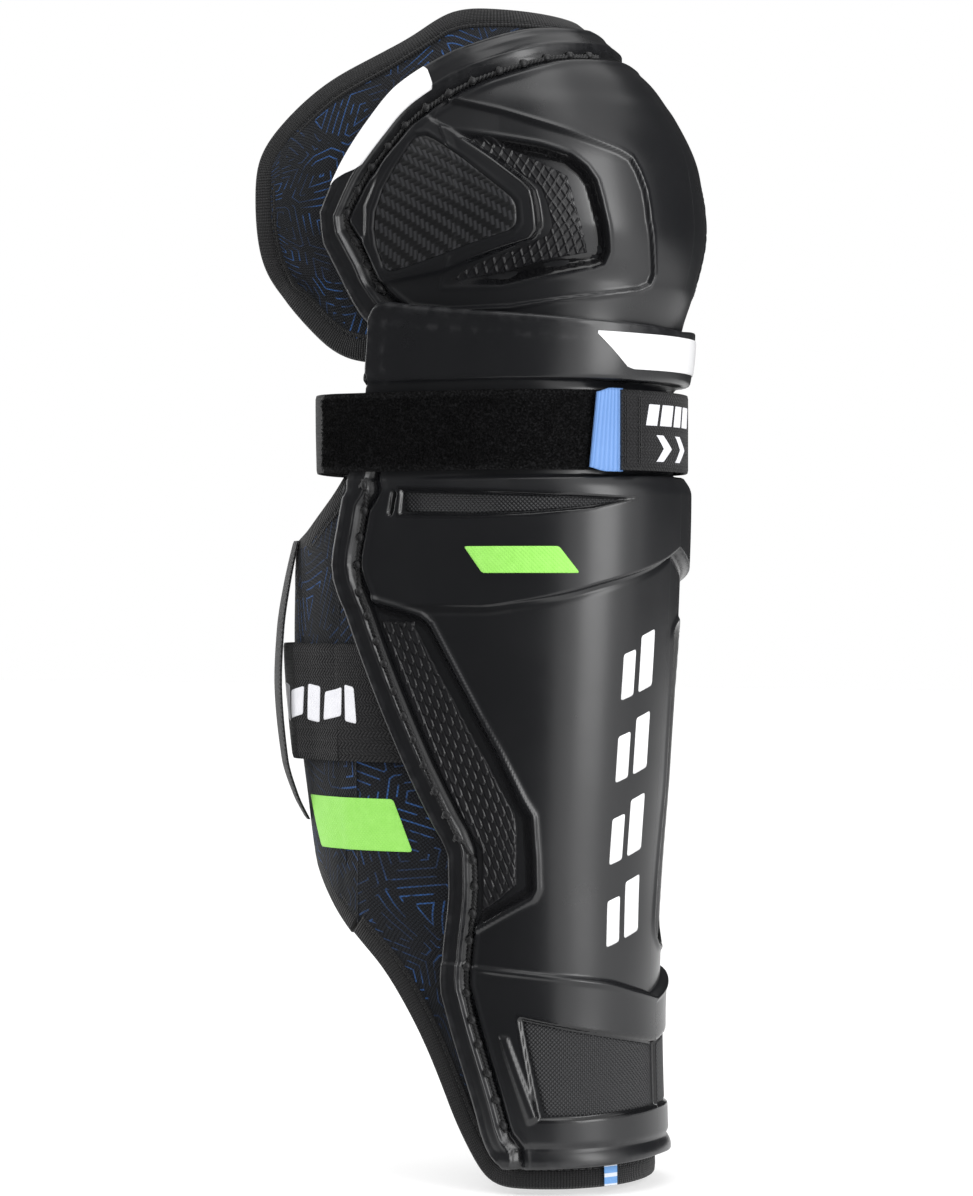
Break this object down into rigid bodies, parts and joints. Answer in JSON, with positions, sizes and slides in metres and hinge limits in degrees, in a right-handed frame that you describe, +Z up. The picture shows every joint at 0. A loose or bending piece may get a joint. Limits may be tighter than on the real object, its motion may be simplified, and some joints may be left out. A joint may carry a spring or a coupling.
{
  "type": "hockey shin guard",
  "caption": "Right-leg ice hockey shin guard: moulded shin cap and hinging knee cap over a padded liner, with fold-open calf wings and two hook-and-loop straps.",
  "frame": {"origin": "on the leg axis, level with the guard's lowest edge, between the two side walls", "axes": "+Z up along the shin, +X to the front of the leg, +Y to the wearer's left, which is the inner side of this right-leg guard"},
  "size_m": [0.1709, 0.1334, 0.446],
  "materials": {
    "cap_plastic": "satin moulded polyethylene, dark grey",
    "grip_plastic": "moulded scale texture",
    "carbon_plate": "twill-patterned film under clear gloss",
    "vent_mesh": "fine moulded mesh",
    "badge_white": "plain white badge film",
    "stitch_thread": "thick bonded thread",
    "liner_fabric": "dark navy woven face with thin blue lines, over foam",
    "binding_fabric": "black knitted edge binding",
    "pad_fabric": "brushed grey lining",
    "strap_elastic": "black woven elastic",
    "keeper_webbing": "black narrow webbing",
    "loop_pile": "black loop pile",
    "hook_tape": "black moulded hooks",
    "tab_blue": "pale blue coated tab",
    "label_satin": "blue woven tag"
  },
  "bodies": {
    "shin": {"shin_cap": "cap_plastic", "front_vent_panel": "vent_mesh", "collar_badge": "badge_white", "side_bar_badges": "badge_white", "upper_vent_panels": "vent_mesh", "ankle_panels": "vent_mesh", "shin_stitching": "stitch_thread", "outer_shin_grip": "grip_plastic", "inner_shin_grip": "grip_plastic", "shin_liner": "liner_fabric", "shin_liner_binding": "binding_fabric", "size_label": "label_satin", "lower_strap_anchor": "strap_elastic", "upper_strap_loop": "loop_pile", "upper_strap_back": "strap_elastic"},
    "knee": {"knee_cap": "cap_plastic", "outer_knee_insert": "carbon_plate", "inner_knee_insert": "carbon_plate", "outer_knee_badge": "badge_white", "inner_knee_badge": "badge_white", "knee_stitching": "stitch_thread", "knee_liner": "liner_fabric", "knee_liner_binding": "binding_fabric", "knee_pad": "pad_fabric"},
    "outer_wing": {"outer_wing_pad": "liner_fabric", "outer_wing_binding": "binding_fabric", "keeper_loop": "keeper_webbing", "lower_strap_wing": "strap_elastic"},
    "inner_wing": {"inner_wing_pad": "liner_fabric", "inner_wing_binding": "binding_fabric", "wing_loop_patch": "loop_pile"},
    "strap_tail": {"lower_strap_tail": "strap_elastic", "lower_hook_patch": "hook_tape", "lower_pull_tab": "tab_blue"},
    "strap_end": {"upper_strap_end": "strap_elastic", "upper_hook_patch": "hook_tape", "upper_pull_tab": "tab_blue"}
  },
  "joints": [
    {"name": "knee_flex", "type": "hinge", "parent": "shin", "child": "knee", "pos_m": [-0.02, 0, 0.332], "axis": [0, -1, 0], "range_deg": [0, 10], "stiffness_Nm_per_rad": 3},
    {"name": "lower_strap_open", "type": "hinge", "parent": "outer_wing", "child": "strap_tail", "pos_m": [-0.0847, -0.0169, 0.182], "axis": [0, 0, 1], "range_deg": [0, 100]},
    {"name": "outer_wing_swing", "type": "hinge", "parent": "shin", "child": "outer_wing", "pos_m": [-0.048, -0.0455, 0.182], "axis": [0, 0, 1], "range_deg": [0, 50]},
    {"name": "inner_wing_swing", "type": "hinge", "parent": "shin", "child": "inner_wing", "pos_m": [-0.048, 0.0455, 0.182], "axis": [0, 0, -1], "range_deg": [0, 50]},
    {"name": "upper_strap_peel", "type": "hinge", "parent": "shin", "child": "strap_end", "pos_m": [0.0701, 0.0202, 0.2855], "axis": [0, 0, 1], "range_deg": [0, 70]}
  ],
  "couplings": [
    {"joint": "outer_wing_swing", "follows": "lower_strap_open", "ratio": 0.45},
    {"joint": "inner_wing_swing", "follows": "lower_strap_open", "ratio": 0.45}
  ]
}
